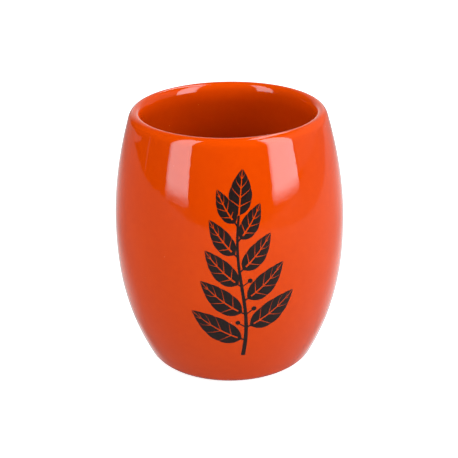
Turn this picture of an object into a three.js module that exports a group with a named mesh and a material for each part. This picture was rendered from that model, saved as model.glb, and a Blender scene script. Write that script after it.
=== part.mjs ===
import * as THREE from 'three';

// A barrel-shaped mate cup of glazed ceramic, thrown and fired in one piece.
// Millimetres, +Z up, origin on the axis at the level that the foot stands on.

// Driving dimensions
const height = 98;
const bellyRadius = 43.2;
const bellyHeight = 54;
const rimRadius = 35.9;
const shoulderPower = 1.88;
const footRadius = 30.5;
const flankPower = 2.35;

const wallThickness = 5.6;
const lipOuterDrop = 2.7;
const lipOuterWidth = 1.6;
const lipInnerDrop = 8;

const footRoundWidth = 2.5;
const footRoundHeight = 2.9;
const footRingWidth = 3.6;
const recessDepth = 1.6;
const recessRound = 1.8;

const floorHeight = 7.5;
const floorRoundTop = 18;
const floorFlatRadius = 18;

const turns = 56;
const wallSteps = 18;
const innerSteps = 12;
const roundSteps = 6;

const glaze = new THREE.MeshStandardMaterial({
  color: 'rgb(226, 70, 10)',
  roughness: 0.14,
  metalness: 0,
});

// The outside wall's radius at a height: widest at the belly, drawn in to rim and foot.
function outerRadius(z) {
  if (z > bellyHeight) {
    const rise = (z - bellyHeight) / (height - bellyHeight);
    return bellyRadius - (bellyRadius - rimRadius) * rise ** shoulderPower;
  }
  const drop = (bellyHeight - z) / bellyHeight;
  return bellyRadius - (bellyRadius - footRadius) * drop ** flankPower;
}

function outerSlope(z) {
  const reach = 0.01;
  return (outerRadius(z + reach) - outerRadius(z - reach)) / (2 * reach);
}

// The inside wall follows the outside at the wall's thickness, measured square to it.
function innerRadius(z) {
  return outerRadius(z) - wallThickness * Math.hypot(1, outerSlope(z));
}

function innerSlope(z) {
  return innerRadius(z + 0.5) - innerRadius(z - 0.5);
}

// Where the inside wall's line at one height reaches another height.
function innerLine(z, reach) {
  return new THREE.Vector2(innerRadius(z) + innerSlope(z) * (reach - z), reach);
}

// A quarter round that leaves from towards corner and arrives at to from corner.
function quarterRound(from, corner, to) {
  const points = [];
  for (let step = 0; step <= roundSteps; step += 1) {
    const angle = ((Math.PI / 2) * step) / roundSteps;
    const away = 1 - Math.sin(angle);
    const near = 1 - Math.cos(angle);
    points.push(new THREE.Vector2(
      corner.x + (from.x - corner.x) * away + (to.x - corner.x) * near,
      corner.y + (from.y - corner.y) * away + (to.y - corner.y) * near,
    ));
  }
  return points;
}

// Points along a wall between two heights, without the two ends.
function wallPoints(radiusAt, start, end, steps) {
  const points = [];
  for (let step = 1; step < steps; step += 1) {
    const z = start + ((end - start) * step) / steps;
    points.push(new THREE.Vector2(radiusAt(z), z));
  }
  return points;
}

// The shallow recess under the cup, out to the flat ring that it stands on.
function underside() {
  const ringInner = footRadius - footRoundWidth - footRingWidth;
  return [
    new THREE.Vector2(0, recessDepth),
    ...quarterRound(
      new THREE.Vector2(ringInner - recessRound, recessDepth),
      new THREE.Vector2(ringInner, recessDepth),
      new THREE.Vector2(ringInner, 0),
    ),
  ];
}

// The rounded heel and the outside wall, up to where the lip begins to turn.
function outside() {
  const lipStart = height - lipOuterDrop;
  return [
    ...quarterRound(
      new THREE.Vector2(footRadius - footRoundWidth, 0),
      new THREE.Vector2(footRadius, 0),
      new THREE.Vector2(outerRadius(footRoundHeight), footRoundHeight),
    ),
    ...wallPoints(outerRadius, footRoundHeight, lipStart, wallSteps),
  ];
}

// The lip: a round outside and a taller, softer one inside, meeting at the crest.
function lip() {
  const outerEnd = height - lipOuterDrop;
  const innerEnd = height - lipInnerDrop;
  const crest = new THREE.Vector2(outerRadius(height) - lipOuterWidth, height);
  const outerRound = quarterRound(
    new THREE.Vector2(outerRadius(outerEnd), outerEnd),
    new THREE.Vector2(outerRadius(height), height),
    crest,
  );
  const innerRound = quarterRound(
    crest,
    innerLine(innerEnd, height),
    new THREE.Vector2(innerRadius(innerEnd), innerEnd),
  );
  return [...outerRound, ...innerRound.slice(1)];
}

// The inside wall, and the round that carries it into the flat floor.
function inside() {
  return [
    ...wallPoints(innerRadius, height - lipInnerDrop, floorRoundTop, innerSteps),
    ...quarterRound(
      new THREE.Vector2(innerRadius(floorRoundTop), floorRoundTop),
      innerLine(floorRoundTop, floorHeight),
      new THREE.Vector2(floorFlatRadius, floorHeight),
    ),
    new THREE.Vector2(0, floorHeight),
  ];
}

function makeCup() {
  const outline = [...underside(), ...outside(), ...lip(), ...inside()];
  const geometry = new THREE.LatheGeometry(outline, turns);
  geometry.rotateX(Math.PI / 2);
  const cup = new THREE.Mesh(geometry, glaze);
  cup.name = 'cup';
  return cup;
}

const mateCup = new THREE.Group();
mateCup.name = 'mate_cup';
mateCup.add(makeCup());

export default mateCup;
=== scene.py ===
"""A glazed ceramic mate cup with a printed leaf sprig, and the small studio it stands in.

Laid out as an add-on: property groups hold the sizes and colours, each operator makes one piece,
and main() calls them in order. Metres, +Z up, the printed front faces -Y.
"""
import math

import bmesh
import bpy
from bpy.props import (
    FloatProperty,
    FloatVectorProperty,
    IntProperty,
    PointerProperty,
)
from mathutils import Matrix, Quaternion, Vector


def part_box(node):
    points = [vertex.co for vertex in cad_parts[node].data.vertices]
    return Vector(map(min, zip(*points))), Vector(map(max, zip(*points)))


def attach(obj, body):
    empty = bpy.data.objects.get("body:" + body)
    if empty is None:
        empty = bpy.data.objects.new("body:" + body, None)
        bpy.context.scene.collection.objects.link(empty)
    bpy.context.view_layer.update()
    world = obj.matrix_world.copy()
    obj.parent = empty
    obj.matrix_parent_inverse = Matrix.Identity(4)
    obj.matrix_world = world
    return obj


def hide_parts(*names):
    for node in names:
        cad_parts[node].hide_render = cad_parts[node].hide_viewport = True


bl_info = {
    "name": "Glazed Mate Cup",
    "version": (1, 0, 0),
    "blender": (4, 5, 0),
    "location": "View3D > Sidebar > Mate Cup",
    "description": "Makes a glazed ceramic mate cup with a printed leaf sprig",
    "category": "Object",
}

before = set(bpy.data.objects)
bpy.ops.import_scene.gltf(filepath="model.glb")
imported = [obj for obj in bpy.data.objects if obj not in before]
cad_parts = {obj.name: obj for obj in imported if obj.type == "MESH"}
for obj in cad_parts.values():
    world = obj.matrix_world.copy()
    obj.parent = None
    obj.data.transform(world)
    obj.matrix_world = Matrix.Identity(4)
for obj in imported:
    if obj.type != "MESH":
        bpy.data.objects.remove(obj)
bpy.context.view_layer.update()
cup_low, cup_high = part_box("cup")

MM = 0.001
BODY = "root"


class CupSizes(bpy.types.PropertyGroup):
    """The turned form of the cup."""

    height: FloatProperty(
        name="Height",
        description="From the table to the crest of the lip",
        default=cup_high[2] - cup_low[2],
        unit="LENGTH",
    )
    belly_radius: FloatProperty(
        name="Belly Radius",
        description="Outside radius where the cup is widest",
        default=(cup_high[0] - cup_low[0]) / 2,
        unit="LENGTH",
    )
    belly_height: FloatProperty(
        name="Belly Height",
        description="Height of the widest place",
        default=54 * MM,
        unit="LENGTH",
    )
    rim_radius: FloatProperty(
        name="Rim Radius",
        description="Radius that the outside wall would reach at the top",
        default=35.9 * MM,
        unit="LENGTH",
    )
    shoulder_power: FloatProperty(
        name="Shoulder Power",
        description="How late the wall draws in above the belly",
        default=1.88,
    )
    foot_radius: FloatProperty(
        name="Foot Radius",
        description="Radius that the outside wall would reach at the table",
        default=30.5 * MM,
        unit="LENGTH",
    )
    flank_power: FloatProperty(
        name="Flank Power",
        description="How late the wall draws in below the belly",
        default=2.35,
    )
    wall: FloatProperty(
        name="Wall",
        description="Thickness of the wall, square to it",
        default=5.6 * MM,
        unit="LENGTH",
    )
    lip_outer_drop: FloatProperty(
        name="Outer Lip Drop",
        description="How far below the crest the outer round of the lip begins",
        default=2.7 * MM,
        unit="LENGTH",
    )
    lip_outer_width: FloatProperty(
        name="Outer Lip Width",
        description="How far the outer round of the lip turns in",
        default=1.6 * MM,
        unit="LENGTH",
    )
    lip_inner_drop: FloatProperty(
        name="Inner Lip Drop",
        description="How far below the crest the inner round of the lip ends",
        default=8 * MM,
        unit="LENGTH",
    )
    heel_width: FloatProperty(
        name="Heel Width",
        description="How far the round at the foot turns in",
        default=2.5 * MM,
        unit="LENGTH",
    )
    heel_height: FloatProperty(
        name="Heel Height",
        description="How high the round at the foot reaches",
        default=2.9 * MM,
        unit="LENGTH",
    )
    ring_width: FloatProperty(
        name="Foot Ring Width",
        description="Width of the flat ring that the cup stands on",
        default=3.6 * MM,
        unit="LENGTH",
    )
    recess_depth: FloatProperty(
        name="Recess Depth",
        description="Depth of the hollow inside the foot ring",
        default=1.6 * MM,
        unit="LENGTH",
    )
    recess_round: FloatProperty(
        name="Recess Round",
        description="Width of the round inside the foot ring",
        default=1.8 * MM,
        unit="LENGTH",
    )
    floor_height: FloatProperty(
        name="Floor Height",
        description="Height of the floor inside the cup",
        default=7.5 * MM,
        unit="LENGTH",
    )
    floor_round_top: FloatProperty(
        name="Floor Round Top",
        description="Height where the inside wall begins to turn into the floor",
        default=18 * MM,
        unit="LENGTH",
    )
    floor_flat_radius: FloatProperty(
        name="Flat Floor Radius",
        description="Radius of the flat middle of the floor",
        default=18 * MM,
        unit="LENGTH",
    )
    turns: IntProperty(
        name="Turns",
        description="Steps round the cup",
        default=240,
    )


class SprigSizes(bpy.types.PropertyGroup):
    """The printed leaf sprig, laid out flat before it is wrapped on the wall."""

    facing: FloatProperty(
        name="Facing",
        description="Angle of the print's middle from the cup's front",
        default=math.radians(5.5),
        subtype="ANGLE",
    )
    foot_height: FloatProperty(
        name="Foot Height",
        description="Height on the cup of the sprig's lowest point",
        default=15.5 * MM,
        unit="LENGTH",
    )
    length: FloatProperty(
        name="Length",
        description="From the cut end of the stem to the top leaf's tip",
        default=73 * MM,
        unit="LENGTH",
    )
    leaf_length: FloatProperty(
        name="Leaf Length",
        description="Length of the lowest leaf",
        default=23 * MM,
        unit="LENGTH",
    )
    leaf_pairs: IntProperty(
        name="Side Leaves",
        description="Leaves along the stem, one side after the other",
        default=9,
    )
    gap: FloatProperty(
        name="Vein Gap",
        description="Width of the glaze left bare along a vein",
        default=0.42 * MM,
        unit="LENGTH",
    )
    film: FloatProperty(
        name="Film",
        description="Thickness of the printed film",
        default=0.08 * MM,
        unit="LENGTH",
    )
    stand: FloatProperty(
        name="Stand",
        description="How far the film stands above the glaze",
        default=0.03 * MM,
        unit="LENGTH",
    )


class CupColours(bpy.types.PropertyGroup):
    """Colours of the glaze, the print and the bare clay, as linear values."""

    glaze: FloatVectorProperty(
        name="Glaze",
        description="The orange glaze",
        subtype="COLOR",
        size=4,
        default=(0.695, 0.0595, 0.0002, 1.0),
    )
    glaze_deep: FloatVectorProperty(
        name="Deep Glaze",
        description="The orange where the glaze lies thicker",
        subtype="COLOR",
        size=4,
        default=(0.665, 0.0530, 0.0002, 1.0),
    )
    # Painted light: a paler orange laid over the top of the lip, where the lip faces up to the lamps, not a
    # thinner glaze.
    glaze_lip_painted_light: FloatVectorProperty(
        name="Lip Painted Light",
        description="The orange where the glaze runs thin over the lip",
        subtype="COLOR",
        size=4,
        default=(0.758, 0.0665, 0.0003, 1.0),
    )
    # Painted shade: a darker orange laid low inside the cup, where less light reaches, not glaze that
    # pooled.
    glaze_painted_deep_shade: FloatVectorProperty(
        name="Painted Deep Shade Glaze",
        description="The orange low inside the cup",
        subtype="COLOR",
        size=4,
        default=(0.58, 0.0485, 0.0002, 1.0),
    )
    speck: FloatVectorProperty(
        name="Speck",
        description="Tiny pale specks in the glaze",
        subtype="COLOR",
        size=4,
        default=(0.80, 0.22, 0.10, 1.0),
    )
    ink: FloatVectorProperty(
        name="Ink",
        description="The fired-on black",
        subtype="COLOR",
        size=4,
        default=(0.0115, 0.0060, 0.0052, 1.0),
    )
    clay: FloatVectorProperty(
        name="Clay",
        description="The bare clay of the foot ring",
        subtype="COLOR",
        size=4,
        default=(0.66, 0.56, 0.45, 1.0),
    )


class StudioSettings(bpy.types.PropertyGroup):
    """Where the camera stands, how it turns and its lens."""

    camera_distance: FloatProperty(
        name="Camera Distance",
        description="From the middle of the cup to the camera",
        default=479.4 * MM,
        unit="LENGTH",
    )
    camera_height_angle: FloatProperty(
        name="Camera Elevation",
        description="How steeply the camera looks down",
        default=math.radians(23.09),
        subtype="ANGLE",
    )
    camera_roll: FloatProperty(
        name="Camera Roll",
        description="Turn of the camera about its own axis",
        default=math.radians(-0.82),
        subtype="ANGLE",
    )
    camera_lens: FloatProperty(
        name="Lens",
        description="Focal length on a 36 mm sensor",
        default=98.6,
    )


def outer_radius(sizes, z):
    """The outside wall: widest at the belly, drawn in to the rim and the foot."""
    if z > sizes.belly_height:
        rise = (z - sizes.belly_height) / (sizes.height - sizes.belly_height)
        return sizes.belly_radius - (sizes.belly_radius - sizes.rim_radius) * rise**sizes.shoulder_power
    drop = (sizes.belly_height - z) / sizes.belly_height
    return sizes.belly_radius - (sizes.belly_radius - sizes.foot_radius) * drop**sizes.flank_power


def slope_of(radius_at, sizes, z):
    """How much a wall's radius grows with each unit of height."""
    reach = 0.05 * MM
    return (radius_at(sizes, z + reach) - radius_at(sizes, z - reach)) / (2 * reach)


def inner_radius(sizes, z):
    """The inside wall, one wall's thickness in from the outside one, square to it."""
    return outer_radius(sizes, z) - sizes.wall * math.hypot(1, slope_of(outer_radius, sizes, z))


def inner_line(sizes, z, reach):
    """Where the inside wall's line at one height reaches another height."""
    return Vector((inner_radius(sizes, z) + slope_of(inner_radius, sizes, z) * (reach - z), reach))


def quarter_round(start, corner, end, steps):
    """A quarter round that leaves start towards corner and arrives at end from corner."""
    points = []
    for step in range(steps + 1):
        angle = math.pi / 2 * step / steps
        from_start = (start - corner) * (1 - math.sin(angle))
        from_end = (end - corner) * (1 - math.cos(angle))
        points.append(corner + from_start + from_end)
    return points


def wall_points(radius_at, sizes, start, end, steps):
    """Points along a wall between two heights, without the two ends."""
    heights = [start + (end - start) * step / steps for step in range(1, steps)]
    return [Vector((radius_at(sizes, z), z)) for z in heights]


def cup_outline(sizes):
    """The cup's section from the middle of the underside, round the lip, to the middle of the floor."""
    recess_steps, heel_steps, floor_round_steps = 8, 10, 14
    lip_outer_steps, lip_inner_steps = 14, 18
    outside_steps, inside_steps, floor_steps = 70, 44, 4
    top = sizes.height
    ring_outer = sizes.foot_radius - sizes.heel_width
    ring_inner = ring_outer - sizes.ring_width
    outer_end = top - sizes.lip_outer_drop
    inner_end = top - sizes.lip_inner_drop
    crest = Vector((outer_radius(sizes, top) - sizes.lip_outer_width, top))
    recess = quarter_round(
        Vector((ring_inner - sizes.recess_round, sizes.recess_depth)),
        Vector((ring_inner, sizes.recess_depth)),
        Vector((ring_inner, 0)),
        recess_steps,
    )
    heel = quarter_round(
        Vector((ring_outer, 0)),
        Vector((sizes.foot_radius, 0)),
        Vector((outer_radius(sizes, sizes.heel_height), sizes.heel_height)),
        heel_steps,
    )
    lip_outer = quarter_round(
        Vector((outer_radius(sizes, outer_end), outer_end)),
        Vector((outer_radius(sizes, top), top)),
        crest,
        lip_outer_steps,
    )
    lip_inner = quarter_round(
        crest,
        inner_line(sizes, inner_end, top),
        Vector((inner_radius(sizes, inner_end), inner_end)),
        lip_inner_steps,
    )
    floor_round = quarter_round(
        Vector((inner_radius(sizes, sizes.floor_round_top), sizes.floor_round_top)),
        inner_line(sizes, sizes.floor_round_top, sizes.floor_height),
        Vector((sizes.floor_flat_radius, sizes.floor_height)),
        floor_round_steps,
    )
    floor = [
        Vector((sizes.floor_flat_radius * (1 - step / floor_steps), sizes.floor_height))
        for step in range(1, floor_steps + 1)
    ]
    return [
        Vector((0, sizes.recess_depth)),
        Vector((ring_inner / 2, sizes.recess_depth)),
        *recess,
        *heel,
        *wall_points(outer_radius, sizes, sizes.heel_height, outer_end, outside_steps),
        *lip_outer,
        *lip_inner[1:],
        *wall_points(inner_radius, sizes, inner_end, sizes.floor_round_top, inside_steps),
        *floor_round,
        *floor,
    ]


def spin_outline(bm, outline, turns):
    """Turns a section about the axis into one closed skin."""
    merge_distance = 0.001 * MM
    verts = [bm.verts.new((point.x, 0, point.y)) for point in outline]
    edges = [bm.edges.new(pair) for pair in zip(verts, verts[1:])]
    bmesh.ops.spin(
        bm,
        geom=verts + edges,
        axis=(0, 0, 1),
        cent=(0, 0, 0),
        angle=math.tau,
        steps=turns,
        use_merge=True,
    )
    bmesh.ops.remove_doubles(bm, verts=bm.verts, dist=merge_distance)
    bmesh.ops.recalc_face_normals(bm, faces=bm.faces)


def finish_piece(name, bm, materials, sharp=None):
    """Makes the object, shades it smooth and hangs it on the cup's body."""
    mesh = bpy.data.meshes.new(name)
    bm.to_mesh(mesh)
    bm.free()
    for material in materials:
        mesh.materials.append(material)
    mesh.shade_smooth()
    if sharp is not None:
        mesh.set_sharp_from_angle(angle=sharp)
    piece = bpy.data.objects.new(name, mesh)
    bpy.context.scene.collection.objects.link(piece)
    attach(piece, BODY)
    return piece


class NodeTree:
    """Short ways to add and link the nodes of one tree."""

    def __init__(self, tree):
        self.tree = tree

    def add(self, kind, **settings):
        node = self.tree.nodes.new(kind)
        for name, value in settings.items():
            setattr(node, name, value)
        return node

    def link(self, source, target):
        self.tree.links.new(source, target)

    def noise(self, vector, scale, detail=2.0, roughness=0.5):
        node = self.add("ShaderNodeTexNoise")
        node.inputs["Scale"].default_value = scale
        node.inputs["Detail"].default_value = detail
        node.inputs["Roughness"].default_value = roughness
        self.link(vector, node.inputs["Vector"])
        return node.outputs["Fac"]

    def math(self, operation, first, second=None, third=None):
        node = self.add("ShaderNodeMath", operation=operation)
        for socket, value in zip(node.inputs, (first, second, third)):
            if isinstance(value, bpy.types.NodeSocket):
                self.link(value, socket)
            elif value is not None:
                socket.default_value = value
        return node.outputs[0]

    def ramp(self, value, low, high, to_low=0.0, to_high=1.0):
        node = self.add("ShaderNodeMapRange", interpolation_type="SMOOTHSTEP")
        self.link(value, node.inputs["Value"])
        ends = (("From Min", low), ("From Max", high), ("To Min", to_low), ("To Max", to_high))
        for name, number in ends:
            node.inputs[name].default_value = number
        return node.outputs["Result"]

    def angle_ramp(self, value, low, high, to_low=0.0, to_high=1.0):
        """A ramp over an angle whose two ends are given in degrees."""
        return self.ramp(value, math.radians(low), math.radians(high), to_low, to_high)

    def product(self, first, *others):
        """All the values multiplied together."""
        for other in others:
            first = self.math("MULTIPLY", first, other)
        return first

    def split(self, vector):
        """The X, Y and Z of a vector."""
        node = self.add("ShaderNodeSeparateXYZ")
        self.link(vector, node.inputs["Vector"])
        return node.outputs["X"], node.outputs["Y"], node.outputs["Z"]

    def mix(self, factor, first, second):
        node = self.add("ShaderNodeMix", data_type="RGBA")
        factor_socket, first_socket, second_socket = node.inputs[0], node.inputs[6], node.inputs[7]
        for socket, value in ((factor_socket, factor), (first_socket, first), (second_socket, second)):
            if isinstance(value, bpy.types.NodeSocket):
                self.link(value, socket)
            else:
                socket.default_value = value
        return node.outputs[2]


def new_group(name, inputs, outputs):
    """An empty shader node group with named sockets: its nodes, its input node and its output node."""
    group = bpy.data.node_groups.new(name, "ShaderNodeTree")
    for socket_name, kind, default in inputs:
        socket = group.interface.new_socket(socket_name, in_out="INPUT", socket_type=kind)
        if default is not None:
            socket.default_value = default
    for socket_name, kind in outputs:
        group.interface.new_socket(socket_name, in_out="OUTPUT", socket_type=kind)
    nodes = NodeTree(group)
    return nodes, nodes.add("NodeGroupInput"), nodes.add("NodeGroupOutput")


def fired_ripple_group():
    """The slow unevenness of a fired surface, with a finer orange peel on it, as a height in metres."""
    nodes, given, result = new_group(
        "fired_ripple",
        [
            ("Position", "NodeSocketVector", None),
            ("Ripple", "NodeSocketFloat", 1.0),
            ("Peel", "NodeSocketFloat", 1.0),
        ],
        [("Height", "NodeSocketFloat")],
    )
    slow_scale, wavy_scale, fine_scale = 62.0, 330.0, 900.0
    wavy_share = 0.26
    slow = nodes.noise(given.outputs["Position"], slow_scale, 1.5)
    wavy = nodes.noise(given.outputs["Position"], wavy_scale, 1.0)
    fine = nodes.noise(given.outputs["Position"], fine_scale, 1.0)
    broad = nodes.math("MULTIPLY_ADD", wavy, wavy_share, slow)
    fine_height = nodes.math("MULTIPLY", fine, given.outputs["Peel"])
    height = nodes.math("MULTIPLY_ADD", broad, given.outputs["Ripple"], fine_height)
    nodes.link(height, result.inputs["Height"])
    return nodes.tree


def glaze_drift_group():
    """Masks of where the glaze lies thicker and where a pale speck shows."""
    nodes, given, result = new_group(
        "glaze_drift",
        [
            ("Position", "NodeSocketVector", None),
            ("Speck Scale", "NodeSocketFloat", 260.0),
            ("Speck Share", "NodeSocketFloat", 0.05),
        ],
        [("Thick", "NodeSocketFloat"), ("Speck", "NodeSocketFloat")],
    )
    broad_scale, mottle_scale = 26.0, 420.0
    broad_share, mottle_share = 0.65, 0.35
    speck_edge, speck_core = 0.07, 0.02
    broad = nodes.noise(given.outputs["Position"], broad_scale, 3.0, 0.55)
    mottle = nodes.noise(given.outputs["Position"], mottle_scale, 2.0, 0.6)
    blend = nodes.math("MULTIPLY_ADD", mottle, mottle_share, nodes.math("MULTIPLY", broad, broad_share))
    nodes.link(nodes.ramp(blend, 0.32, 0.68), result.inputs["Thick"])
    cells = nodes.add("ShaderNodeTexVoronoi", feature="F1")
    nodes.link(given.outputs["Position"], cells.inputs["Vector"])
    nodes.link(given.outputs["Speck Scale"], cells.inputs["Scale"])
    dots = nodes.ramp(cells.outputs["Distance"], speck_edge, speck_core)
    pick = nodes.add("ShaderNodeSeparateColor")
    nodes.link(cells.outputs["Color"], pick.inputs["Color"])
    chosen = nodes.math("LESS_THAN", pick.outputs[0], given.outputs["Speck Share"])
    nodes.link(nodes.math("MULTIPLY", dots, chosen), result.inputs["Speck"])
    return nodes.tree


def shared_group(name, build):
    """The node group of that name, built the first time it is asked for."""
    return bpy.data.node_groups.get(name) or build()


def new_material(name):
    """A material with its nodes cleared down to a Principled shader: nodes, shader, object coordinates."""
    material = bpy.data.materials.new(name)
    material.use_nodes = True
    material.node_tree.nodes.clear()
    nodes = NodeTree(material.node_tree)
    shader = nodes.add("ShaderNodeBsdfPrincipled")
    output = nodes.add("ShaderNodeOutputMaterial")
    nodes.link(shader.outputs["BSDF"], output.inputs["Surface"])
    position = nodes.add("ShaderNodeTexCoord").outputs["Object"]
    return material, nodes, shader, position


def add_ripple(nodes, shader, position, ripple, peel):
    """Bumps the surface with the shared ripple; ripple and peel are heights in metres."""
    group = nodes.add("ShaderNodeGroup", node_tree=shared_group("fired_ripple", fired_ripple_group))
    nodes.link(position, group.inputs["Position"])
    group.inputs["Ripple"].default_value = ripple
    group.inputs["Peel"].default_value = peel
    bump = nodes.add("ShaderNodeBump")
    bump.inputs["Strength"].default_value = 1.0
    bump.inputs["Distance"].default_value = 1.0
    nodes.link(group.outputs["Height"], bump.inputs["Height"])
    nodes.link(bump.outputs["Normal"], shader.inputs["Normal"])


def glaze_material(name, colours, painted_deep_shade):
    """Deep glossy orange with pale specks. Painted light makes the top of the lip paler, and, inside,
    painted shade makes the orange darker low down.
    """
    lip_low, lip_high = 94.6 * MM, 97.0 * MM
    deep_shade_full, deep_shade_end = 68 * MM, 84 * MM
    material, nodes, shader, position = new_material(name)
    drift = nodes.add("ShaderNodeGroup", node_tree=shared_group("glaze_drift", glaze_drift_group))
    nodes.link(position, drift.inputs["Position"])
    _, _, height = nodes.split(position)
    tone = nodes.mix(drift.outputs["Thick"], tuple(colours.glaze), tuple(colours.glaze_deep))
    # Painted light: the orange turns paler towards the crest of the lip, standing in for the light on its
    # upward-facing round.
    tone = nodes.mix(nodes.ramp(height, lip_low, lip_high), tone, tuple(colours.glaze_lip_painted_light))
    # Painted shade: inside the cup the orange darkens towards the floor, standing in for the light that
    # fails deep inside.
    if painted_deep_shade:
        deep_shade_mask = nodes.ramp(height, deep_shade_full, deep_shade_end, 1.0, 0.0)
        tone = nodes.mix(deep_shade_mask, tone, tuple(colours.glaze_painted_deep_shade))
    tone = nodes.mix(drift.outputs["Speck"], tone, tuple(colours.speck))
    nodes.link(tone, shader.inputs["Base Color"])
    shader.inputs["Roughness"].default_value = 0.045
    shader.inputs["IOR"].default_value = 1.5
    add_ripple(nodes, shader, position, ripple=0.085 * MM, peel=0.0009 * MM)
    return material


def ink_material(colours):
    """Fired-on black, less glossy than the glaze it lies on."""
    lighter_share = 1.9
    material, nodes, shader, position = new_material("fired_black")
    grain = nodes.ramp(nodes.noise(position, 1600.0, 2.0, 0.6), 0.35, 0.75)
    lighter = tuple(channel * lighter_share for channel in colours.ink[:3]) + (1.0,)
    nodes.link(nodes.mix(grain, tuple(colours.ink), lighter), shader.inputs["Base Color"])
    shader.inputs["Roughness"].default_value = 0.3
    shader.inputs["IOR"].default_value = 1.5
    add_ripple(nodes, shader, position, ripple=0.08 * MM, peel=0.002 * MM)
    return material


def clay_material(colours):
    """The sanded bare clay that the cup stands on."""
    darker_share = 0.72
    material, nodes, shader, position = new_material("bare_clay")
    grain = nodes.ramp(nodes.noise(position, 2200.0, 4.0, 0.7), 0.3, 0.7)
    darker = tuple(channel * darker_share for channel in colours.clay[:3]) + (1.0,)
    nodes.link(nodes.mix(grain, darker, tuple(colours.clay)), shader.inputs["Base Color"])
    shader.inputs["Roughness"].default_value = 0.85
    add_ripple(nodes, shader, position, ripple=0.03 * MM, peel=0.05 * MM)
    return material


class MATECUP_OT_cup(bpy.types.Operator):
    """Turn the glazed cup and leave its foot ring bare"""

    bl_idname = "matecup.cup"
    bl_label = "Make Cup"

    def execute(self, context):
        scene = context.scene
        sizes = scene.cup_sizes
        colours = scene.cup_colours
        materials = [
            glaze_material("orange_glaze", colours, painted_deep_shade=False),
            clay_material(colours),
            glaze_material("orange_glaze_inside", colours, painted_deep_shade=True),
        ]
        bare_clay, inside = 1, 2
        ring_outer = sizes.foot_radius - sizes.heel_width
        ring_inner = ring_outer - sizes.ring_width
        table_gap = 0.01 * MM
        bm = bmesh.new()
        spin_outline(bm, cup_outline(sizes), sizes.turns)
        for face in bm.faces:
            middle = face.calc_center_median()
            across = math.hypot(middle.x, middle.y)
            within_wall = outer_radius(sizes, middle.z) - sizes.wall / 2
            if middle.z < table_gap and ring_inner < across < ring_outer:
                face.material_index = bare_clay
            elif middle.z > 2 * sizes.recess_depth and across < within_wall:
                face.material_index = inside
        piece = finish_piece("glazed_cup", bm, materials)
        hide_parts("cup")
        return {"FINISHED"}


def leaf_margin(along):
    """Half width of a leaf along its length, as a share of its greatest; the tip is pointed."""
    base_power = 0.62
    tip_power = 0.95
    widest = base_power / (base_power + tip_power)
    most = widest**base_power * (1 - widest) ** tip_power
    along = min(max(along, 0.0), 1.0)
    return along**base_power * (1 - along) ** tip_power / most


def add_leaf_lobe(bm, sprig, leaf, side, lobe, lobes):
    """One field between two veins, on one side of a leaf's midrib."""
    rows, columns = 5, 5
    vein_slant = 0.85
    vein_narrowing = 0.8
    midrib_share, midrib_taper = 0.75, 0.5
    scallop_depth = 0.05
    base, direction, length, half_width, bend = leaf
    across = Vector((-direction.y, direction.x)) * side
    turn = Vector((-direction.y, direction.x)) * bend
    grid = bmesh.ops.create_grid(bm, x_segments=rows, y_segments=columns, size=1.0)
    for vert in grid["verts"]:
        step = (vert.co.x + 1) / 2
        reach = (vert.co.y + 1) / 2
        margin_gap = lobes * sprig.gap / (2 * length) * (1 - vein_narrowing * reach)
        share = (lobe + margin_gap + step * (1 - 2 * margin_gap)) / lobes
        along = share + vein_slant * reach * share * (1 - share)
        midrib = sprig.gap * (midrib_share - midrib_taper * along)
        scallop = 1 + scallop_depth * math.sin(math.pi * step) * reach
        margin = max(half_width * leaf_margin(along) * scallop, midrib)
        offset = midrib + (margin - midrib) * reach
        point = base + direction * length * along + turn * length * along**2 + across * offset
        vert.co = (point.x, 0, point.y)


def add_leaf(bm, sprig, leaf):
    """A leaf: its foot, direction, length, half width and bend; the veins and midrib are left bare."""
    lobes = 5
    for side in (-1, 1):
        for lobe in range(lobes):
            add_leaf_lobe(bm, sprig, leaf, side, lobe, lobes)


def add_stroke(bm, path, steps):
    """A tapering stroke: path(share) gives its middle point and its half width."""
    small_step = 0.01
    grid = bmesh.ops.create_grid(bm, x_segments=1, y_segments=steps, size=1.0)
    for vert in grid["verts"]:
        share = (vert.co.y + 1) / 2
        point, half_width = path(share)
        ahead, _ = path(share + small_step)
        direction = (ahead - point).normalized()
        across = Vector((direction.y, -direction.x))
        point = point + across * half_width * vert.co.x
        vert.co = (point.x, 0, point.y)


def add_berry(bm, centre, radius):
    """A round berry, flat in the XZ plane."""
    circle = bmesh.ops.create_circle(bm, cap_ends=True, cap_tris=True, segments=20, radius=radius)
    for vert in circle["verts"]:
        vert.co = (centre.x + vert.co.x, 0, centre.y + vert.co.y)


def stem_point(sprig, share):
    """The stem's gentle double curve, from its cut end to where the top leaf begins."""
    sway = 1.5 * MM
    sway_turns, sway_start = 0.85, 0.4
    stem_share = 0.78
    height = sprig.length * stem_share * share
    return Vector((sway * math.sin(math.tau * share * sway_turns + sway_start), height))


def draw_stem(bm, sprig):
    """The stem, tapering from its cut end."""
    foot_half_width, taper = 0.75, 0.35
    add_stroke(bm, lambda share: (stem_point(sprig, share), (foot_half_width - taper * share) * MM), 48)


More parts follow.
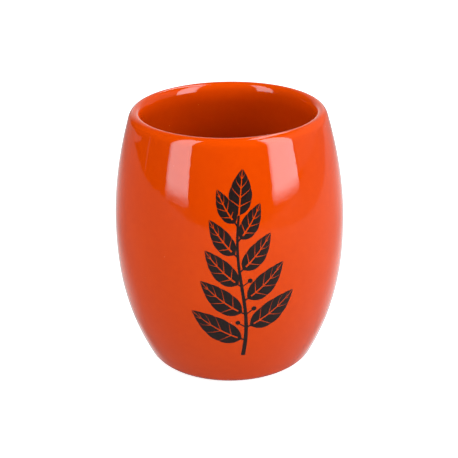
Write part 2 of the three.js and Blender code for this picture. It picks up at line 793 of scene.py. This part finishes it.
def draw_side_leaf(bm, sprig, index):
    """One side leaf on its stalk: higher leaves are shorter and stand up more."""
    lowest, spread = 0.13, 0.80
    lowest_lift, more_lift = 24, 30
    shortening = 0.36
    stalk, stalk_overlap, stalk_half_width = 1.6 * MM, 1.5 * MM, 0.3 * MM
    width_share, bend = 0.20, 0.16
    last = sprig.leaf_pairs - 1
    side = -1 if index % 2 == 0 else 1
    root = stem_point(sprig, lowest + spread * index / last)
    lift = math.radians(lowest_lift + more_lift * index / last)
    direction = Vector((side * math.cos(lift), math.sin(lift)))
    length = sprig.leaf_length * (1 - shortening * index / last)
    base = root + direction * stalk
    add_leaf(bm, sprig, (base, direction, length - stalk, length * width_share, bend * side))
    add_stroke(bm, lambda part: (root + direction * (stalk + stalk_overlap) * part, stalk_half_width), 3)
    return root, side


def draw_berry(bm, root, side):
    """A berry on a short stalk, on the side of the stem away from the leaf."""
    radius, stalk_half_width = 0.9 * MM, 0.22 * MM
    berry = root + Vector((-side * 3.0, 2.3)) * MM
    add_berry(bm, berry, radius)
    add_stroke(bm, lambda part: (root.lerp(berry, part), stalk_half_width), 3)


def draw_sprig(bm, sprig):
    """Stem, side leaves, berries and top leaf, flat in the XZ plane."""
    leaves_with_berries = (1, 2, 4)
    top_length_share, top_width_share = 0.22, 0.17
    draw_stem(bm, sprig)
    for index in range(sprig.leaf_pairs):
        root, side = draw_side_leaf(bm, sprig, index)
        if index in leaves_with_berries:
            draw_berry(bm, root, side)
    top = stem_point(sprig, 1.0)
    rise = (top - stem_point(sprig, 0.95)).normalized()
    top_length = sprig.length * top_length_share
    top_half_width = sprig.leaf_length * top_width_share
    add_leaf(bm, sprig, (top, rise, top_length, top_half_width, 0.0))


def wrap_on_wall(bm, cup, sprig):
    """Lays a flat film on the cup's outside wall: X goes round the cup, Z up, -Y out of the wall."""
    for vert in bm.verts:
        z = sprig.foot_height + vert.co.z
        radius = outer_radius(cup, z)
        slope = slope_of(outer_radius, cup, z)
        lift = (-vert.co.y - sprig.film + sprig.stand) / math.hypot(1, slope)
        angle = sprig.facing + vert.co.x / radius
        reach = radius + lift
        vert.co = (reach * math.sin(angle), -reach * math.cos(angle), z - lift * slope)


class MATECUP_OT_sprig(bpy.types.Operator):
    """Print the leaf sprig on the front of the cup"""

    bl_idname = "matecup.sprig"
    bl_label = "Print Leaf Sprig"

    def execute(self, context):
        scene = context.scene
        sprig = scene.sprig_sizes
        bm = bmesh.new()
        draw_sprig(bm, sprig)
        bmesh.ops.recalc_face_normals(bm, faces=bm.faces)
        for face in bm.faces:
            if face.normal.y > 0:
                face.normal_flip()
        raised = bmesh.ops.extrude_face_region(bm, geom=list(bm.faces), use_keep_orig=True)
        top = [item for item in raised["geom"] if isinstance(item, bmesh.types.BMVert)]
        bmesh.ops.translate(bm, verts=top, vec=(0, -sprig.film, 0))
        wrap_on_wall(bm, scene.cup_sizes, sprig)
        bmesh.ops.recalc_face_normals(bm, faces=bm.faces)
        finish_piece("leaf_sprig", bm, [ink_material(scene.cup_colours)], math.radians(40))
        return {"FINISHED"}


def aim(obj, target, roll=0.0):
    """Turns an object so that its -Z looks at the target."""
    look = (target - obj.location).to_track_quat("-Z", "Y")
    obj.rotation_mode = "QUATERNION"
    obj.rotation_quaternion = look @ Quaternion((0, 0, 1), roll)


def stage_sheet(name, size, material):
    """A flat sheet in the XY plane, for the stage."""
    bm = bmesh.new()
    bmesh.ops.create_grid(bm, x_segments=1, y_segments=1, size=0.5)
    bmesh.ops.scale(bm, verts=bm.verts, vec=(size[0], size[1], 1))
    return stage_mesh(name, bm, material)


def stage_mesh(name, bm, material):
    """Makes an object of a bmesh for the stage."""
    mesh = bpy.data.meshes.new(name)
    bm.to_mesh(mesh)
    bm.free()
    mesh.materials.append(material)
    sheet = bpy.data.objects.new(name, mesh)
    bpy.context.scene.collection.objects.link(sheet)
    return sheet


def seen_only_in_gloss(obj):
    """Hides an object from the camera and from all light but what the gloss mirrors."""
    obj.visible_camera = False
    obj.visible_diffuse = False
    obj.visible_shadow = False
    obj.visible_transmission = False


def direction_angle(nodes, x, y):
    """The angle round the cup, 0 at the front and growing to the right, in radians."""
    return nodes.math("ARCTAN2", x, nodes.math("MULTIPLY", y, -1.0))


def point_at(azimuth, distance, height):
    """A point round the cup: azimuth in radians, 0 at the front and growing to the right."""
    return Vector((math.sin(azimuth) * distance, -math.cos(azimuth) * distance, height))


def paper_edges(nodes, x, y):
    """One on the paper and less past its right, left and front edges; the left edge is wavy."""
    right_slant, left_slant = -0.6, 0.25
    beyond_right = 0.38
    left_waves = ((0.465, 0.505, -0.16), (0.545, 0.595, 0.15), (0.72, 0.82, -0.15))
    right_line = nodes.math("MULTIPLY_ADD", y, right_slant, x)
    past_right = nodes.ramp(right_line, 0.34, 0.41, 1.0, beyond_right)
    left_line = nodes.math("MULTIPLY_ADD", y, left_slant, x)
    for low, high, shift in left_waves:
        left_line = nodes.math("ADD", left_line, nodes.ramp(y, low, high, 0.0, shift))
    past_left = nodes.ramp(left_line, -0.945, -0.895)
    past_front = nodes.ramp(y, -0.44, -0.35)
    return nodes.product(past_right, past_left, past_front)


def glow_behind(nodes, x, y, turned, away):
    """The white behind the cup, which also creeps in beside the foot."""
    white, creeping = 0.55, 0.6
    foot_slant = -1.04
    near_turn = nodes.ramp(away, 0.05, 0.17, 0.55, 0.0)
    back = nodes.angle_ramp(nodes.math("ADD", turned, near_turn), 112, 152, 0.0, white)
    back = nodes.product(back, nodes.ramp(away, 0.18, 0.45, 1.0, 0.0))
    behind_foot = nodes.math("MULTIPLY_ADD", nodes.math("ABSOLUTE", x), foot_slant, y)
    by_foot = nodes.product(
        nodes.ramp(behind_foot, -0.052, -0.039),
        nodes.ramp(away, 0.04, 0.066, creeping, 0.0),
        nodes.ramp(y, -0.024, -0.012),
    )
    return nodes.math("MAXIMUM", back, by_foot)


def paper_glow(nodes, position):
    """How bright the paper looks in the glaze: dimmer past its edges, brighter to the right and behind."""
    left_glow, right_glow, back_glow = 0.25, 0.46, 0.35
    x, y, _ = nodes.split(position)
    around = direction_angle(nodes, x, y)
    turned = nodes.math("ABSOLUTE", around)
    squares = nodes.math("ADD", nodes.math("MULTIPLY", x, x), nodes.math("MULTIPLY", y, y))
    away = nodes.math("SQRT", squares)
    sides = nodes.angle_ramp(around, 10, 95, left_glow, right_glow)
    to_even = nodes.math("SUBTRACT", back_glow, sides)
    sides = nodes.math("MULTIPLY_ADD", nodes.angle_ramp(turned, 125, 175), to_even, sides)
    behind = glow_behind(nodes, x, y, turned, away)
    return nodes.math("MULTIPLY_ADD", sides, paper_edges(nodes, x, y), behind)


def floor_material():
    """White paper: plain white to the camera, and as bright as it looks from the cup in the gloss."""
    white_to_camera = (0.86, 0.86, 0.86, 1.0)
    grey_to_cup = (0.56, 0.56, 0.56, 1.0)
    black_in_gloss = (0.0, 0.0, 0.0, 1.0)
    glow_to_camera = 0.75
    material, nodes, shader, position = new_material("white_paper")
    shader.inputs["Roughness"].default_value = 0.9
    shader.inputs["Specular IOR Level"].default_value = 0.1
    rays = nodes.add("ShaderNodeLightPath")
    seen = rays.outputs["Is Camera Ray"]
    mirrored = rays.outputs["Is Glossy Ray"]
    glow = nodes.product(mirrored, paper_glow(nodes, position))
    glow = nodes.math("MULTIPLY_ADD", seen, glow_to_camera, glow)
    nodes.link(glow, shader.inputs["Emission Strength"])
    shader.inputs["Emission Color"].default_value = (1, 1, 1, 1)
    paper = nodes.mix(seen, grey_to_cup, white_to_camera)
    nodes.link(nodes.mix(mirrored, paper, black_in_gloss), shader.inputs["Base Color"])
    return material


def glow_material(name, strength, fade_share=None):
    """A lit front; with a fade share it dies away along its lower edge and dims towards one side."""
    cool_white = (0.76, 0.98, 1.07, 1.0)
    at_lower_edge, at_dim_side = 0.12, 0.45
    material = bpy.data.materials.new(name)
    material.use_nodes = True
    material.node_tree.nodes.clear()
    nodes = NodeTree(material.node_tree)
    glow = nodes.add("ShaderNodeEmission")
    glow.inputs["Strength"].default_value = strength
    if fade_share is not None:
        across, along, _ = nodes.split(nodes.add("ShaderNodeTexCoord").outputs["Object"])
        fade = nodes.ramp(along, -0.5, -0.5 + fade_share, at_lower_edge, 1.0)
        dimming = nodes.ramp(across, 0.34, 0.5, 1.0, at_dim_side)
        nodes.link(nodes.product(fade, dimming, strength), glow.inputs["Strength"])
    glow.inputs["Color"].default_value = cool_white
    output = nodes.add("ShaderNodeOutputMaterial")
    nodes.link(glow.outputs["Emission"], output.inputs["Surface"])
    return material


def add_lamp(name, width, height, radiance):
    """A rectangular lamp that lights the cup but is not mirrored in it."""
    lamp = bpy.data.lights.new(name, "AREA")
    lamp.shape = "RECTANGLE"
    lamp.size = width
    lamp.size_y = height
    lamp.energy = radiance * math.pi * width * height
    light = bpy.data.objects.new(name, lamp)
    bpy.context.scene.collection.objects.link(light)
    light.visible_camera = False
    light.visible_glossy = False
    return light


def add_softbox(name, azimuth, distance, width, bottom, top, radiance, gain):
    """A lamp that lights the cup and a card that stands for its lit front in the glaze."""
    fade_share = 0.055
    place = point_at(azimuth, distance, (bottom + top) / 2)
    outwards = point_at(azimuth, 1.0, 0)
    light = add_lamp(name, width, top - bottom, gain * radiance)
    light.location = place
    aim(light, place - outwards)
    card = stage_sheet(name + "_front", (1, 1), glow_material(name + "_glow", radiance, fade_share))
    card.location = place
    aim(card, place + outwards)
    card.scale = (width, top - bottom, 1)
    seen_only_in_gloss(card)


def add_overhead(height, width, radiance):
    """A soft light over the cup that reaches into it, and a narrow panel that its lip mirrors."""
    panel_width, panel_length = 0.19 * height, 1.2 * height
    panel_right, panel_behind = 0.32 * height, 0.38 * height
    panel_glow = 6.0
    light = add_lamp("softbox_above", width, width, radiance)
    light.location = (0, 0, height)
    panel = stage_sheet("panel_above", (panel_width, panel_length), glow_material("panel_glow", panel_glow))
    panel.location = (panel_right, panel_behind, height)
    seen_only_in_gloss(panel)


def add_paper_curl():
    """The lifted end of the paper, standing up at the left behind the cup, and a thin rod beside it."""
    reach = 1.22
    paper_strength, rod_strength = 0.36, 0.30
    rod_azimuth = math.radians(-95)
    rod_width, rod_length, rod_middle = 0.03, 0.30, 0.15
    columns = (
        (-109.4, 0.062, 0.068),
        (-112.0, 0.048, 0.066),
        (-115.0, 0.026, 0.053),
        (-118.0, 0.002, 0.041),
        (-121.0, -0.012, 0.029),
        (-124.0, -0.020, 0.020),
        (-128.0, -0.020, 0.010),
        (-132.0, -0.020, 0.000),
    )
    bm = bmesh.new()
    edges = []
    for azimuth, low, high in columns:
        ends = (point_at(math.radians(azimuth), reach, height) for height in (low, high))
        edges.append([bm.verts.new(end) for end in ends])
    for (low, high), (next_low, next_high) in zip(edges, edges[1:]):
        bm.faces.new((low, next_low, next_high, high))
    seen_only_in_gloss(stage_mesh("paper_curl", bm, glow_material("paper_glow", paper_strength)))
    rod = stage_sheet("stand_rod", (rod_width, rod_length), glow_material("rod_glow", rod_strength))
    rod.location = point_at(rod_azimuth, reach, rod_middle)
    aim(rod, point_at(rod_azimuth, 2 * reach, rod_middle))
    seen_only_in_gloss(rod)


def room_glow(nodes, around, turned, rise):
    """The room in the gloss: dark in front, a lit wall at the right and a bright backdrop behind."""
    dark, wall, white = 0.012, 0.30, 0.85
    near_horizon = 1.28
    lean = 0.5
    right_wall = nodes.angle_ramp(around, 74, 78, dark, wall)
    right_wall = nodes.product(right_wall, nodes.ramp(rise, 0.60, 0.80, 1.0, 0.0))
    leaning = nodes.math("MULTIPLY_ADD", rise, lean, turned)
    backdrop = nodes.product(
        nodes.angle_ramp(leaning, 140, 176, 0.0, white),
        nodes.ramp(rise, 0.15, 0.95, 1.0, 0.0),
        nodes.ramp(rise, 0.12, 0.26, near_horizon, 1.0),
    )
    return nodes.math("MAXIMUM", right_wall, backdrop)


def build_world():
    """White to the camera, an even fill to the cup, and a dark room in front for its gloss."""
    front_fill, back_fill = 0.10, 0.52
    white = (1.0, 1.0, 1.0, 1.0)
    world = bpy.data.worlds.new("studio_room")
    bpy.context.scene.world = world
    world.use_nodes = True
    world.node_tree.nodes.clear()
    nodes = NodeTree(world.node_tree)
    x, y, rise = nodes.split(nodes.add("ShaderNodeTexCoord").outputs["Generated"])
    around = direction_angle(nodes, x, y)
    turned = nodes.math("ABSOLUTE", around)
    fill = nodes.angle_ramp(turned, 95, 150, front_fill, back_fill)
    rays = nodes.add("ShaderNodeLightPath")
    gloss = nodes.mix(rays.outputs["Is Glossy Ray"], fill, room_glow(nodes, around, turned, rise))
    seen = nodes.mix(rays.outputs["Is Camera Ray"], gloss, white)
    back = nodes.add("ShaderNodeBackground")
    nodes.link(seen, back.inputs["Color"])
    output = nodes.add("ShaderNodeOutputWorld")
    nodes.link(back.outputs["Background"], output.inputs["Surface"])


def add_camera(studio, cup):
    """The photograph's camera: a long lens a little above the cup."""
    data = bpy.data.cameras.new("photo_camera")
    data.lens = studio.camera_lens
    data.sensor_width = 36.0
    data.clip_start = 0.01
    camera = bpy.data.objects.new("photo_camera", data)
    bpy.context.scene.collection.objects.link(camera)
    middle = Vector((0, 0, cup.height / 2))
    elevation = studio.camera_height_angle
    towards_camera = Vector((0, -math.cos(elevation), math.sin(elevation)))
    camera.location = middle + studio.camera_distance * towards_camera
    framing = Vector((-0.24, 0.28, 0.66)) * MM
    aim(camera, middle + framing, studio.camera_roll)
    bpy.context.scene.camera = camera


class MATECUP_OT_stage(bpy.types.Operator):
    """Set up the white floor, the softboxes and the camera"""

    bl_idname = "matecup.stage"
    bl_label = "Set Up Studio"

    def execute(self, context):
        scene = context.scene
        floor_size = 8.0
        floor_gap = 0.02 * MM
        floor = stage_sheet("floor", (floor_size, floor_size), floor_material())
        floor.location = (0, 0, -floor_gap)
        add_paper_curl()
        add_softbox(
            "softbox_left",
            azimuth=math.radians(-52.7),
            distance=0.86,
            width=0.38,
            bottom=0.0,
            top=1.45,
            radiance=5.1,
            gain=1.045,
        )
        add_softbox(
            "softbox_right",
            azimuth=math.radians(57.7),
            distance=0.86,
            width=0.475,
            bottom=0.0,
            top=1.35,
            radiance=6.2,
            gain=1.075,
        )
        add_overhead(height=1.6, width=1.2, radiance=0.86)
        build_world()
        add_camera(scene.studio_settings, scene.cup_sizes)
        scene.view_settings.view_transform = "Standard"
        return {"FINISHED"}


class MATECUP_PT_panel(bpy.types.Panel):
    """Lists the steps that make the cup"""

    bl_idname = "MATECUP_PT_panel"
    bl_label = "Mate Cup"
    bl_space_type = "VIEW_3D"
    bl_region_type = "UI"
    bl_category = "Mate Cup"

    def draw(self, context):
        column = self.layout.column()
        for operator in OPERATORS:
            column.operator(operator.bl_idname)
        for group in GROUPS:
            settings = getattr(context.scene, group)
            box = self.layout.box()
            for name in settings.bl_rna.properties.keys():
                if name not in ("rna_type", "name"):
                    box.prop(settings, name)


GROUPS = {
    "cup_sizes": CupSizes,
    "sprig_sizes": SprigSizes,
    "cup_colours": CupColours,
    "studio_settings": StudioSettings,
}
OPERATORS = (MATECUP_OT_cup, MATECUP_OT_sprig, MATECUP_OT_stage)


def register():
    for cls in (*GROUPS.values(), *OPERATORS, MATECUP_PT_panel):
        bpy.utils.register_class(cls)
    for name, group in GROUPS.items():
        setattr(bpy.types.Scene, name, PointerProperty(type=group))


def unregister():
    for name in GROUPS:
        delattr(bpy.types.Scene, name)
    for cls in (MATECUP_PT_panel, *OPERATORS, *GROUPS.values()):
        bpy.utils.unregister_class(cls)


def main():
    register()
    bpy.ops.matecup.cup()
    bpy.ops.matecup.sprig()
    bpy.ops.matecup.stage()


if __name__ == "__main__":
    main()
